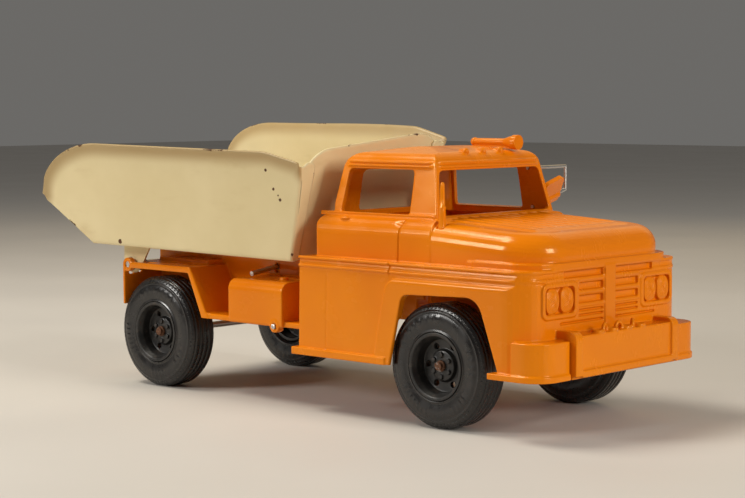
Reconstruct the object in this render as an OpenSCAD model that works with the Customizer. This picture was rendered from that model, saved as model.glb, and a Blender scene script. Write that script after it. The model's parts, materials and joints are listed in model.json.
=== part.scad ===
// Toy dump truck: moulded plastic cab and chassis, pressed steel tipping bed,
// wire dump lever, steel axles and four black wheels.
// +X is the truck's front, +Y its left (driver's) side, +Z up, and the ground is z = 0.
// The origin is on the ground, at the middle of the truck's length and width.

/* [Wheels] */
// Radius of each tyre
tyre_r = 27; // [26:0.5:28]
// Width of each tyre
tyre_w = 17.3; // [15:0.1:18]
// Distance between the middles of the left and right tyres
track = 91.4; // [90:0.2:93]
// Radius of the wheel's barrel, where the tyre grips it
rim_r = 13.6; // [13:0.1:14]
// Number of hand holes in each wheel disc
hand_holes = 6; // [4:1:8]
// Distance from the bed's datum plane forward to the front axle
front_axle_x = 106; // [105:0.5:107]
// Distance between the front and the rear axle
wheelbase = 181; // [180:0.5:182]
// Radius of the steel axles
axle_r = 1.6; // [1.4:0.1:1.8]

/* [Cab] */
// Thickness of the moulded walls
wall = 2.2; // [1.8:0.1:2.6]
// Half width of the cab at the doors
cab_half = 55; // [54:0.5:56]
// Height of the belt ledge above the ground
belt_z = 70; // [69:0.5:71]
// Height of the window sills above the ground
sill_z = 89.5; // [89:0.5:90]
// Height of the crown of the roof above the ground
roof_z = 119.4; // [119:0.1:120]

/* [Bed] */
// Sideways lean of the bed on its loose hinge, in degrees
bed_roll = 5.5; // [0:0.5:6]
// Nose-down lean of the bed at rest, in degrees
bed_pitch = 1.6; // [0.5:0.1:2]
// Height of the underside of the bed's floor above the origin
bed_z = 71.2; // [71.2:0.1:73]
// Half width of the bed at the front of its floor
bed_half = 50.3; // [49:0.1:50.5]
// Angle by which each side spreads outwards towards the back, in degrees
bed_splay = 4.5; // [0:0.5:5]
// Height of the bed's sides
bed_h = 51; // [50:0.5:52]
// Thickness of the bed's steel sheet
sheet = 0.9; // [0.7:0.1:1.1]

/* [Hinge and lever] */
// Radius of the pin that the bed tips on
hinge_r = 1.5; // [1.3:0.1:1.7]
// Radius of the wire that the dump lever is bent from
lever_r = 1.15; // [1:0.05:1.3]
// Length of the lever's crank, from its shaft to its cross bar
crank_l = 60; // [58:1:60]
// Length of the lever's handle
handle_l = 28; // [20:1:30]

/* [Hidden] */
$fn = 48;

orange = [0.86, 0.47, 0.03];
cream = [0.84, 0.77, 0.57];
rubber = [0.11, 0.10, 0.10];
black = [0.16, 0.15, 0.15];
steel = [0.62, 0.60, 0.58];
rusty = [0.45, 0.28, 0.18];

rear_axle_x = front_axle_x - wheelbase;
running_fit = 0.08;
// The origin is this far ahead of the datum plane that x is drawn from.
middle_x = 10.2;

// Puts a sub-part drawn from the datum plane on the truck.
module on_truck() {
    translate([-middle_x, 0, 0]) children();
}

// ---- outlines -------------------------------------------------------------

function unit(v) = v / norm(v);

// Points of an arc of radius r that rounds the corner b between a and c.
function fillet(a, b, c, r, n) =
    let (u = unit(a - b), v = unit(c - b), half = acos(u * v) / 2)
    let (start = b + u * r / tan(half), end = b + v * r / tan(half))
    let (mid = b + unit(u + v) * r / sin(half))
    let (a0 = atan2(start[1] - mid[1], start[0] - mid[0]))
    let (a1 = atan2(end[1] - mid[1], end[0] - mid[0]))
    let (turn = (a1 - a0 + 540) % 360 - 180)
    [for (i = [0:n]) mid + r * [cos(a0 + turn * i / n), sin(a0 + turn * i / n)]];

// A closed outline whose corner i is rounded to radius radii[i].
function rounded(points, radii, n = 6) =
    [for (i = [0:len(points) - 1])
        each radii[i] == 0 ? [points[i]] : fillet(
            points[(i + len(points) - 1) % len(points)], points[i],
            points[(i + 1) % len(points)], radii[i], n)];

// Mirror images of the points of a half outline, walked back the other way.
function both_sides(half) =
    concat(half, [for (i = [len(half) - 1:-1:0]) [-half[i][0], half[i][1]]]);
function both_radii(half) = concat(half, [for (i = [len(half) - 1:-1:0]) half[i]]);

// Extrudes a side view outline of (x, z) points from y = y0 to y = y1.
module side_view(y0, y1) {
    translate([0, y1, 0])
        rotate([90, 0, 0])
            linear_extrude(y1 - y0) children();
}

// Extrudes a front view outline of (y, z) points from x = x0 to x = x1.
module front_view(x0, x1) {
    translate([x0, 0, 0])
        rotate([90, 0, 90])
            linear_extrude(x1 - x0) children();
}

// Repeats its children on the left and the right side.
module left_and_right() {
    children();
    mirror([0, 1, 0]) children();
}

module rod_y(r, y0, y1) {
    translate([0, y0, 0]) rotate([-90, 0, 0]) cylinder(r = r, h = y1 - y0);
}

// Round knuckle where a wire of radius r bends, turned so that its seam faces away.
module knuckle(r, seam = 0) {
    rotate([0, 0, seam]) sphere(r * 1.06);
}

// Plan outline with rounded front corners of radius r, symmetric about the x axis.
function plan(x0, x1, half, r) = rounded(
    [[x0, -half], [x1, -half], [x1, half], [x0, half]], [0, r, r, 0], 8);

// ---- cab ------------------------------------------------------------------

cab_rear = 26;
cab_front = 156.7;
corner = 11;
cab_floor_z = 25.6;
arch_rear = 81.5;
arch_front = 143;
hood_lean = 3.3;
glass_lean = 0.2;

// Foot of the windshield and of the side windows' wall at height z, lean included.
function glass_x(z) = 95.8 - glass_lean * (z - 89.5);
function glass_y(z) = 41 - glass_lean * (z - 89.5);

// Lower body: doors, fenders and nose up to the belt ledge, drawn d inside its skin.
module lower_body(d) {
    bottom = d > 0 ? cab_floor_z - 1 : cab_floor_z;
    intersection() {
        translate([0, 0, bottom]) linear_extrude(belt_z + 3 - bottom)
            polygon(plan(cab_rear + d, cab_front - d, cab_half + 1 - d, corner - d));
        front_view(cab_rear, cab_front)
            polygon(rounded(both_sides(
                [[-cab_half - 0.8 + d, bottom], [-cab_half + d, belt_z - d]]),
                both_radii([0, 3]), 5));
    }
    // nose panel that stands above the belt ledge, behind the top of the grille
    translate([0, 0, 60]) linear_extrude(12.6 - d)
        polygon(plan(120 + d, cab_front + 0.4 - d, 50.4 - d, corner + 4 - d));
}

// Twin beads round the body at the belt, and the rail over the grille.
module belt_beads() {
    for (z = [65.4, 69])
        translate([0, 0, z]) linear_extrude(1.2) difference() {
            polygon(plan(cab_rear, cab_front + 0.7, cab_half + 0.9, corner + 0.5));
            polygon(plan(cab_rear - 1, cab_front - 1.4, cab_half - 1.4, corner - 1.5));
        }
    translate([0, 0, 69.6]) linear_extrude(3.2) difference() {
        polygon(plan(124, cab_front + 1.2, 51, corner + 5));
        polygon(plan(122, cab_front - 1.4, 48.4, corner + 2.4));
    }
}

// Front fenders swell out of the lower body around the wheel arches.
module fender_swell() {
    swell = 1.6;
    intersection() {
        side_view(-60, 60)
            polygon(rounded([[72, cab_floor_z], [80, 64], [170, 65], [170, cab_floor_z]],
                [0, 9, 0, 0], 6));
        translate([0, 0, cab_floor_z]) linear_extrude(45)
            polygon(rounded(
                [[60, -cab_half - swell], [cab_front + 0.6, -cab_half - swell],
                 [cab_front + 0.6, cab_half + swell], [60, cab_half + swell]],
                [0, corner + 2, corner + 2, 0], 8));
        front_view(60, 170)
            polygon(rounded(both_sides([[-cab_half - swell, 20], [-cab_half - swell, 64.5]]),
                both_radii([0, 3]), 5));
    }
}

// Door tops, from the belt ledge up to the window sills.
module door_tops(d) {
    low = d > 0 ? belt_z - 12 : belt_z - 4;
    front = d > 0 ? 92 : 98.4;
    intersection() {
        side_view(-60, 60)
            polygon(rounded([[30 + d, low], [30 + d, sill_z - d], [front, sill_z - d],
                [front + 1, low]], [0, 4, 3, 0], 6));
        front_view(20, 110)
            polygon(rounded(both_sides(
                [[-49.6 + d, low], [-49 + d, sill_z - 1.6 - d], [-20, sill_z + 1 - d]]),
                both_radii([0, 8, 30]), 6));
        translate([0, 0, low - 1]) linear_extrude(40)
            polygon(rounded([[30 + d, -49.6 + d], [110, -49.6 + d], [110, 49.6 - d],
                [30 + d, 49.6 - d]], [3, 0, 0, 3], 6));
    }
}

// Puts the hood's own frame (its top surface at z = 0) on the cab.
module hood_place() {
    translate([94, 0, 87.8]) rotate([0, hood_lean, 0]) children();
}

// Hood, dropping towards the nose, with rounded edges and corners; d is the inset.
module hood(d) {
    half = 49.2 - d;
    front = 63.3 - d;
    corner = 20 - d;
    edge = 9 - d;
    deep = d > 0 ? -29 : -21;
    hood_place() {
        front_view(-6, front - corner)
            polygon(rounded([[-half, deep], [-half, -d], [half, -d], [half, deep]],
                [0, edge, edge, 0], 8));
        side_view(-half + corner, half - corner)
            polygon(rounded([[-6, deep], [-6, -d], [front, -d], [front, deep]],
                [0, 0, edge, 0], 8));
        left_and_right()
            translate([front - corner, half - corner, 0]) rotate_extrude(angle = 90)
                polygon(rounded([[0, deep], [0, -d], [corner, -d], [corner, deep]],
                    [0, 0, edge, 0], 8));
    }
}

// Window band and roof.
module greenhouse(d) {
    low = d > 0 ? sill_z - 12 : sill_z - 4;
    intersection() {
        side_view(-60, 60)
            polygon(rounded([[33 + d, low], [37.5 + d, roof_z - 4 - d], [64, roof_z + 0.2 - d],
                [glass_x(roof_z - 2.9) - d, roof_z - 2.9 - d], [glass_x(low) - d, low]],
                [0, 9, 60, 7, 0], 6));
        front_view(20, 110)
            polygon(rounded(both_sides([[-glass_y(low) + d, low],
                [-glass_y(roof_z - 3.4) + d, roof_z - 3.4 - d], [-12, roof_z - d]]),
                both_radii([0, 6, 30]), 6));
        translate([0, 0, low - 1]) linear_extrude(60)
            polygon(rounded([[33 + d, -42.6 + d], [97 - d, -42.6 + d],
                [97 - d, 42.6 - d], [33 + d, 42.6 - d]], [6, 5, 5, 6], 6));
    }
}

// Two beads run round the roof above the windows as a rain gutter.
module drip_rail() {
    for (band = [[110.4, 1, 0.5], [112.1, 0.9, 0.1]])
        translate([0, 0, band[0]]) linear_extrude(band[1])
            polygon(rounded([[36.8 - band[2], -37.2 - band[2]], [91.7 + band[2], -37.2 - band[2]],
                [91.7 + band[2], 37.2 + band[2]], [36.8 - band[2], 37.2 + band[2]]],
                [6, 5, 5, 6], 6));
}

module cab_windows() {
    // side windows
    side_view(-50, 50)
        polygon(rounded([[38.6, sill_z + 0.2], [40.8, 109.4], [79.6, 109.4], [79.8, sill_z + 0.2]],
            [1.5, 2.5, 2, 1.5], 4));
    // windshield
    front_view(86, 110)
        polygon(rounded(both_sides([[-38.6, sill_z + 0.3], [-34.6, 109.2]]),
            both_radii([1.5, 2.5]), 4));
    // rear window
    front_view(20, 46)
        polygon(rounded(both_sides([[-27, sill_z + 0.3], [-26, 108.2]]),
            both_radii([2, 3]), 4));
}

module wheel_arches() {
    side_view(-70, 70)
        polygon(rounded([[arch_rear, 10], [arch_rear, 25], [89, 56.8], [131, 58.2],
            [arch_front, 25], [arch_front, 10]], [0, 4, 4, 9, 4, 0], 6));
}

// Rim along the bottom of each door.
module skirt_rim() {
    left_and_right()
        translate([cab_rear - 3.5, -cab_half - 2.2, cab_floor_z - 0.2]) cube([57, 4.6, 3.4]);
}

module bumper() {
    difference() {
        union() {
            translate([0, 0, 27.6]) linear_extrude(13.9) polygon(plan(150, 165.2, 58, 10));
            translate([0, 0, 25.4]) linear_extrude(2.6)
                polygon(plan(138, 166, 58.7, 11));
        }
        translate([0, 0, 20]) linear_extrude(30)
            polygon(plan(130, 153, 53, 7));
        // narrow channels between the wings and the guards
        left_and_right() translate([161, 37.2, 20]) cube([10, 0.9, 30]);
    }
    // middle plate with its own bottom rim
    translate([150, -31.8, 28]) cube([16.8, 63.6, 15.2]);
    translate([150, -32.2, 26]) cube([17.9, 64.4, 3]);
    // guards at both ends of the middle plate, bent back over its top
    guard = rounded([[151, 40], [151, 45.2], [167.9, 45.2], [167.9, 26.6],
        [163, 26.6], [163, 40]], [0, 0, 3.4, 0, 0, 0], 6);
    left_and_right() side_view(32.4, 37.2) polygon(guard);
}

// Tow chain moulded over the top of the bumper's middle plate.
module tow_chain() {
    for (i = [0:6])
        translate([164.4, 5 * i - 18, 43.8 + 0.5 * (i % 2)])
            rotate([0, 90 * (i % 2), 20 * (i % 3)])
                rotate_extrude() translate([2.1, 0]) circle(r = 0.8, $fn = 16);
}

// Grille half on the left side of the nose: bars, slots, lamp bezel and turn lamp.
module grille_slots() {
    face = cab_front - 1.1;
    left_and_right() {
        translate([face, 4.2, 66.2]) cube([8, 27.8, 2.9]);
        for (z = [60.6, 55.2]) translate([face, 4.2, z]) cube([8, 17.2, 3.1]);
        for (z = [51.6, 49.6]) translate([face + 0.4, 4.2, z]) cube([8, 17.2, 0.9]);
        translate([face + 0.4, 4.2, 47]) cube([8, 30, 0.9]);
        // well of the lamp bezel
        front_view(face, face + 8)
            polygon(rounded([[25, 51.8], [44.8, 51.8], [44.8, 62.9], [25, 62.9]],
                [2, 2, 2, 2], 4));
    }
}

module nose_trim() {
    // middle bar of the grille
    translate([cab_front - 3, -3.6, 42]) cube([4.4, 7.2, 28.4]);
    left_and_right() {
        // bezel round the lamps
        front_view(cab_front - 3, cab_front + 1.3)
            difference() {
                polygon(rounded([[22.8, 49.9], [46.8, 49.9], [46.8, 64.8], [22.8, 64.8]],
                    [3, 3, 3, 3], 5));
                polygon(rounded([[25, 51.8], [44.8, 51.8], [44.8, 62.9], [25, 62.9]],
                    [2, 2, 2, 2], 4));
            }
        // two oval lamps
        for (y = [30, 39.8])
            intersection() {
                front_view(cab_front - 3, cab_front + 1.4)
                    polygon([for (i = [0:23]) let (c = cos(15 * i), v = sin(15 * i))
                        [y + 4.4 * sign(c) * pow(abs(c), 0.72),
                         57.3 + 5.2 * sign(v) * pow(abs(v), 0.72)]]);
                translate([cab_front - 12.2, y, 57.3]) sphere(r = 13.6, $fn = 64);
            }
        // round turn lamp below the bezel
        translate([cab_front - 3, 42.5, 46]) rotate([0, 90, 0]) cylinder(r = 2.6, h = 3.6);
        // thin bars between the grille slots
        for (z = [64.6, 59.2, 53.8]) translate([cab_front - 3, 3, z]) cube([3.9, 19, 0.9]);
    }
}

// Raised panel along the hood, with long parallel ribs.
module hood_ribs() {
    rise = 0.8;
    proud = 1.4;
    hood_place() translate([6, 0, 0]) {
        side_view(-33.5, 33.5) polygon([[-3, -1], [-3, rise], [42, rise], [44, 0], [44, -1]]);
        for (i = [-4:4])
            side_view(7 * i - 0.8, 7 * i + 0.8)
                polygon([[-3, 0], [-3, proud], [36, proud], [43, rise], [43, 0]]);
    }
}

module marker_lamps() {
    for (y = [-12, 0, 12])
        translate([84.6, y, 117.1]) {
            translate([3, 0, 0]) sphere(1.7);
            rotate([0, 90, 0]) cylinder(r = 1.3, h = 3);
        }
}

// Inside the cab, ribs hold the front axle and a shelf takes the chassis tongue.
module cab_inside() {
    left_and_right() {
        translate([98, 29, 30]) cube([16, 3, 56]);
        hull() {
            translate([98, 29, 34]) cube([16, 3, 1]);
            translate([front_axle_x, 29, tyre_r]) rotate([-90, 0, 0])
                cylinder(r = 4.5, h = 3, $fn = 32);
        }
    }
    translate([27, -50, 67]) cube([34, 100, 2.2]);
}

mirror_x = 86;
mirror_top = 108.4;
mirror_low = 97.5;
mirror_out = 63.4;
mirror_slant = 16;
mirror_leg = 26.5;
wire_r = 0.8;
horn_x = 72;
horn_y = 22;
horn_z = 120.5;
socket = 0.04;
antenna_x = 101.6;
antenna_y = -44;
antenna_z = 84.6;
screw_x = 50;
screw_y = 16;

module cab_shell() {
    color(orange) on_truck() difference() {
        union() {
            difference() {
                union() {
                    lower_body(0);
                    fender_swell();
                    door_tops(0);
                    hood(0);
                    greenhouse(0);
                    belt_beads();
                    drip_rail();
                    skirt_rim();
                }
                lower_body(wall);
                door_tops(wall);
                hood(wall);
                greenhouse(wall);
                cab_windows();
                wheel_arches();
                grille_slots();
                // way through the back panel for the chassis
                translate([20, -33, 20]) cube([14, 66, 47]);
            }
            bumper();
            nose_trim();
            hood_ribs();
            marker_lamps();
            tow_chain();
            cab_inside();
        }
        translate([front_axle_x, 0, tyre_r]) rod_y(axle_r + running_fit, -40, 40);
        // room for the front tyres inside the fenders
        left_and_right() translate([front_axle_x, 0, tyre_r])
            rod_y(tyre_r + 0.8, 36, (track + tyre_w) / 2 + 0.5);
        // sockets of the mirror wire, the antenna, the horn and the screws
        translate([mirror_x, 0, mirror_top]) rod_y(wire_r + socket, 30, 45);
        translate([mirror_x, mirror_out, mirror_low]) rotate([mirror_slant, 0, 0])
            rod_y(wire_r + socket, -mirror_leg - 3, -mirror_leg + 5);
        translate([antenna_x, antenna_y, 70]) cylinder(r = 1.2 + socket, h = 30);
        translate([antenna_x - 1.95, antenna_y - 1.95, antenna_z - 0.05]) cube([3.9, 3.9, 10]);
        translate([horn_x, horn_y, 105]) cylinder(r = 1.2 + socket, h = 20);
        for (s = [-1, 1])
            translate([screw_x, s * screw_y, 60]) cylinder(r = 1.3 + socket, h = 12);
    }
}

// ---- accessories on the cab ---------------------------------------------------

module antenna_post() {
    color(orange) on_truck() union() {
        translate([antenna_x, antenna_y, antenna_z - 3]) cylinder(r = 1.2, h = 4);
        translate([antenna_x - 1.9, antenna_y - 1.9, antenna_z]) cube([3.8, 3.8, 3.6]);
        translate([antenna_x - 1.4, antenna_y - 1.4, antenna_z + 3]) cube([2.8, 2.8, 6.2]);
        translate([antenna_x - 0.85, antenna_y - 0.85, antenna_z + 9]) cube([1.7, 1.7, 11.4]);
    }
}

module air_horn() {
    bell = 87;
    color(orange) on_truck() translate([0, horn_y, 0]) union() {
        translate([horn_x, 0, 114.6]) cylinder(r = 1.2, h = 4.6);
        // web that stands along the roof
        side_view(-1.2, 1.2)
            polygon([[64.4, 118.2], [78.3, 118.2], [bell, 117.3], [bell, horn_z], [64.4, horn_z]]);
        // round driver at the back, tube and flared bell
        translate([64.8, 0, horn_z]) sphere(2);
        translate([64.8, 0, horn_z]) rotate([0, 90, 0]) cylinder(r = 1.7, h = 19);
        translate([82.6, 0, horn_z]) rotate([0, 90, 0]) cylinder(r1 = 1.8, r2 = 3.4, h = 5.8);
        translate([bell + 1, 0, horn_z]) rotate([0, 90, 0]) cylinder(r = 3.4, h = 2.6);
    }
}

// Bent wire: a top leg, an outer upright and a lower leg that slants down to the cab.
module mirror_wire() {
    color(steel) on_truck() translate([mirror_x, 0, 0]) union() {
        translate([0, 0, mirror_top]) rod_y(wire_r, 34.3, mirror_out);
        translate([0, mirror_out, mirror_top]) knuckle(wire_r);
        translate([0, mirror_out, mirror_low])
            cylinder(r = wire_r, h = mirror_top - mirror_low);
        translate([0, mirror_out, mirror_low]) {
            knuckle(wire_r);
            rotate([mirror_slant, 0, 0]) rod_y(wire_r, -mirror_leg, 0);
        }
    }
}

mirror_lean = 30;

// Mirror clipped on the slanted leg of its wire.
module mirror_plate() {
    color(orange) on_truck() translate([mirror_x, mirror_out, mirror_low])
        rotate([mirror_slant, 0, 0]) rotate([0, mirror_lean, 0]) difference() {
            union() {
                front_view(-1.1, 1.1)
                    polygon(rounded([[-20.4, -3], [-6, -3], [-6, 10.4], [-20.4, 10.4]],
                        [1, 1, 2.5, 2.5], 4));
                rod_y(2, -19.8, -6.6);
            }
            rod_y(wire_r + running_fit, -24, -4);
        }
}

module cab_screws() {
    color(steel) on_truck() for (s = [-1, 1]) translate([screw_x, s * screw_y, 0]) union() {
        translate([0, 0, 62.4]) cylinder(r = 2.6, h = 1.6);
        translate([0, 0, 63.9]) cylinder(r = 1.3, h = 5.2);
    }
}

// ---- chassis ------------------------------------------------------------------

rail_out = 28;
rail_top = 66.5;
rail_low = 43.5;
frame_rear = -101.4;
fender_out = 52.4;
fender_top = 60;
board_low = 36;
board_top = 38.6;
hinge_x = -98;
hinge_z = 58.6;
cheek_y = 47.6;
lever_x = -16;
lever_z = 60.6;
lug_x = 8;
lug_z = 36.3;

// Rear fender: a flat-topped band over the wheel, open at its outer face.
module rear_fender() {
    side_view(rail_out - 1, fender_out) difference() {
        polygon(rounded([[-101.2, 38.8], [frame_rear, fender_top], [-51.5, fender_top],
            [-38.4, board_low], [-44, board_low]], [0, 1.5, 1.5, 0, 0], 4));
        polygon([[-99.8, 30], [-99.8, fender_top - 3], [-53, fender_top - 3], [-42.4, 34]]);
    }
    // raised step beside the rail
    translate([-90, rail_out - 1, fender_top - 1]) cube([36, 11, 3.2]);
}

module fuel_tank() {
    front_view(-23, 13)
        polygon(rounded([[rail_out - 1, board_low], [53.6, board_low], [53.6, 56.6],
            [rail_out - 1, 56.6]], [0, 1, 5, 0], 6));
    translate([5, 44, 56]) cylinder(r = 2.1, h = 2.2);
}

module chassis_frame() {
    color(orange) on_truck() difference() {
        union() {
            left_and_right() {
                // side rail
                translate([frame_rear, rail_out - 2.2, rail_low])
                    cube([29.7 - frame_rear, 2.2, rail_top - rail_low]);
                rear_fender();
                fuel_tank();
                // running board
                translate([-44, rail_out - 1, board_low]) cube([69.6, 25, board_top - board_low]);
                // inner wall between the rail and the running board
                translate([-44, rail_out - 2.2, board_low - 3]) cube([69, 2.2, 13]);
                // hanger of the rear axle
                hull() {
                    translate([-84, 27, rail_low]) cube([18, 4, 2]);
                    translate([rear_axle_x, 27, tyre_r]) rotate([-90, 0, 0])
                        cylinder(r = 4.8, h = 4, $fn = 32);
                }
                // knuckles of the bed hinge under the fender's top
                for (y = [cheek_y - 4.6, cheek_y + 1.6])
                    translate([hinge_x, y, hinge_z]) rod_y(3.4, 0, 3);
                // lug below the running board
                translate([lug_x, 49.8, lug_z]) rod_y(3, 0, 4);
            }
            // back panel, middle tie and the tongue that runs into the cab
            translate([frame_rear, -rail_out, rail_low]) cube([2.4, 2 * rail_out, 21]);
            translate([-44, -rail_out + 1, board_low - 3]) cube([2.2, 2 * rail_out - 2, 11]);
            translate([-6, -rail_out + 1, rail_top - 2.5]) cube([66, 2 * rail_out - 2, 2.5]);
        }
        translate([rear_axle_x, 0, tyre_r]) rod_y(axle_r + running_fit, -40, 40);
        translate([hinge_x, 0, hinge_z]) rod_y(hinge_r + socket, -54, 54);
        // tanks are hollow from below
        left_and_right() translate([-21, rail_out + 1, board_low - 1]) cube([32, 21.5, 18]);
        // pockets for the pin's washers
        left_and_right() translate([hinge_x - 3.6, 41, 54]) cube([7.2, 2, 9]);
        // upright slots for the lever's shaft
        left_and_right() translate([lever_x - lever_r - 0.15, 20, lever_z - 2.6])
            cube([2 * lever_r + 0.3, 10, 4.4]);
        // slots in the fender tops for the hinge bracket's cheeks
        left_and_right() translate([-107, cheek_y - 1.6, 53.6]) cube([25, 3.2, 10]);
        for (s = [-1, 1]) translate([screw_x, s * screw_y, 60]) cylinder(r = 1.5, h = 12);
        left_and_right() translate([lug_x, 40, lug_z]) rod_y(1.15 + socket, 0, 20);
    }
}

module lug_rivets() {
    color(steel) on_truck() left_and_right() translate([lug_x, 0, lug_z]) union() {
        rod_y(1.15, 49.4, 54);
        rod_y(1.7, 53.84, 54.6);
    }
}

// ---- bed ------------------------------------------------------------------------

bed_front = 14.5;
bed_len = 128.5;
wall_lean = 11;

// Puts the bed's own frame (floor underside at z = 0) on the truck.
module bed_place() {
    translate([0, 0, bed_z]) rotate([bed_roll, bed_pitch, 0]) children();
}

// Half width of the bed's floor at a distance behind its front edge.
function bed_width(back) = bed_half + back * tan(bed_splay);

// Outline of a side panel, from its front bottom corner: top edge, swept tail and chin.
tail_x = -121;
tail_z = 24;
tail_len = 42;
side_outline = concat(
    [[sheet, 0]],
    fillet([sheet, 0], [wall_lean + sheet - 1, bed_h - 5], [-10, bed_h], 5, 4),
    fillet([wall_lean + sheet - 1, bed_h - 5], [-10, bed_h], [-40, bed_h], 30, 4),
    [for (i = [0:10])
        [tail_x - tail_len * sin(9 * i), tail_z + (bed_h - tail_z) * cos(9 * i)]],
    [[tail_x - tail_len + 1.6, tail_z - 1.2], [tail_x - tail_len + 2.2, tail_z - 3.4],
     [-bed_len, 0]]
);

// The panel's sheet curls outwards near its top, as a front view band.
module side_band() {
    r = 16;
    a = 35.2;
    lean = 0.13;
    rise = bed_h - r * sin(a);
    band = concat([[0, 0]],
        [for (i = [0:8]) [lean + r * (1 - cos(a * i / 8)), rise + r * sin(a * i / 8)]]);
    polygon(concat(band,
        [for (i = [len(band) - 1:-1:0]) [band[i][0] - sheet, band[i][1]]]));
}

// Slab that leans with the front wall; front is how far its front face is ahead of the wall's.
module wall_slab(front) {
    side_view(-60, 60)
        polygon([[bed_front + front - sheet, 0], [bed_front + front, 0],
            [bed_front + front + wall_lean, bed_h], [bed_front + front + wall_lean - sheet, bed_h]]);
}

module bed_tub() {
    color(cream) on_truck() bed_place() union() {
        // floor, behind the foot of the front wall
        linear_extrude(sheet)
            polygon([[bed_front - sheet - 0.04, -bed_half + 0.3],
                [bed_front - sheet - 0.04, bed_half - 0.3],
                [bed_front - bed_len, bed_width(bed_len) - 0.3],
                [bed_front - bed_len, -bed_width(bed_len) + 0.3]]);
        left_and_right() {
            translate([bed_front, bed_half, 0]) rotate([0, 0, -bed_splay]) intersection() {
                front_view(-180, 15) side_band();
                side_view(-10, 20) polygon(side_outline);
            }
            // flange folded over the edge of the front wall
            intersection() {
                wall_slab(sheet);
                front_view(0, 50)
                    polygon(rounded([[bed_half - 4.8, 2], [bed_half - 0.4, 2],
                        [bed_half - 1.2, bed_h - 5.4], [bed_half - 10, bed_h - 5.4]],
                        [0, 0, 1, 4], 4));
            }
        }
    }
}

module bed_front_wall() {
    inside = bed_half - sheet - 0.05;
    color(cream) on_truck() bed_place()
        intersection() {
            wall_slab(-0.02);
            front_view(0, 50)
                polygon(rounded(both_sides([[-inside, 0], [-inside + 1, bed_h - 0.5]]),
                    both_radii([0, 18]), 8));
        }
}

module bed_hinge_bracket() {
    color(cream) on_truck() difference() {
        union() {
            left_and_right()
                side_view(cheek_y - 0.5, cheek_y + 0.5)
                    polygon(concat(
                        [[-105, 84], [-105, hinge_z]],
                        [for (i = [1:7]) [hinge_x, hinge_z] + 4.4 * [cos(180 + 20 * i), sin(180 + 20 * i)]],
                        [[-90.6, hinge_z + 1.4], [-84, 70], [-84, 84]]));
            bed_place() translate([-105, -cheek_y, -1]) cube([21, 2 * cheek_y, 1]);
        }
        // everything above the underside of the bed's floor
        bed_place() translate([-120, -70, -0.02]) cube([60, 140, 40]);
        translate([hinge_x, 0, hinge_z]) rod_y(hinge_r + running_fit, -60, 60);
    }
}

module bed_hinge_pin() {
    color(steel) on_truck() translate([hinge_x, 0, hinge_z]) rod_y(hinge_r, -51.8, 51.8);
}

// Push-on washers that keep the hinge pin in place.
module hinge_pin_caps() {
    color(steel) on_truck() left_and_right() translate([hinge_x, 0, hinge_z]) difference() {
        rod_y(3, 41.6, 42.8);
        rod_y(hinge_r, 40, 44);
    }
}

// Bent steel wire: a shaft across the rails, a crank under the bed and a handle at the left.
module dump_lever() {
    crank_a = 7;
    crank_y = 12;
    droop = 8;
    droop_y = -30;
    handle_y = 57;
    handle_a = 34;
    color(steel) on_truck() translate([lever_x, 0, lever_z]) union() {
        // drooping end on the right
        translate([0, droop_y, 0]) {
            rotate([droop, 0, 0]) rod_y(lever_r, -15, 0);
            knuckle(lever_r);
        }
        rod_y(lever_r, droop_y, -crank_y);
        rod_y(lever_r, crank_y, handle_y);
        // crank that lifts the bed
        for (s = [-1, 1]) translate([0, s * crank_y, 0]) {
            knuckle(lever_r, -45 * s);
            rotate([0, crank_a - 90, 0]) cylinder(r = lever_r, h = crank_l);
        }
        rotate([0, crank_a, 0]) translate([-crank_l, 0, 0]) {
            rod_y(lever_r, -crank_y, crank_y);
            for (s = [-1, 1]) translate([0, s * crank_y, 0]) knuckle(lever_r, 180 - 45 * s);
        }
        // handle
        translate([0, handle_y, 0]) {
            knuckle(lever_r, 135);
            rotate([0, 90 - handle_a, 0]) cylinder(r = lever_r, h = handle_l);
            rotate([0, -handle_a, 0]) translate([handle_l, 0, 0])
                rotate([0, 0, 90]) sphere(lever_r + 0.5);
        }
    }
}

// ---- wheels ---------------------------------------------------------------------

axle_end = 51.4;

module axle(x) {
    color(steel) on_truck() translate([x, 0, tyre_r]) rod_y(axle_r, -axle_end, axle_end);
}

module front_axle() {
    axle(front_axle_x);
}

module rear_axle() {
    axle(rear_axle_x);
}

// Domed push-on caps on both ends of an axle.
module axle_caps(x) {
    color(rusty) on_truck() left_and_right()
        translate([x, axle_end - 1.6, tyre_r]) rotate([-90, 0, 0])
        difference() {
            union() {
                cylinder(r = 3.1, h = 1);
                cylinder(r = 2.3, h = 2.4);
            }
            translate([0, 0, -1]) cylinder(r = axle_r, h = 2.6);
        }
}

module front_axle_caps() {
    axle_caps(front_axle_x);
}

module rear_axle_caps() {
    axle_caps(rear_axle_x);
}

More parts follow.
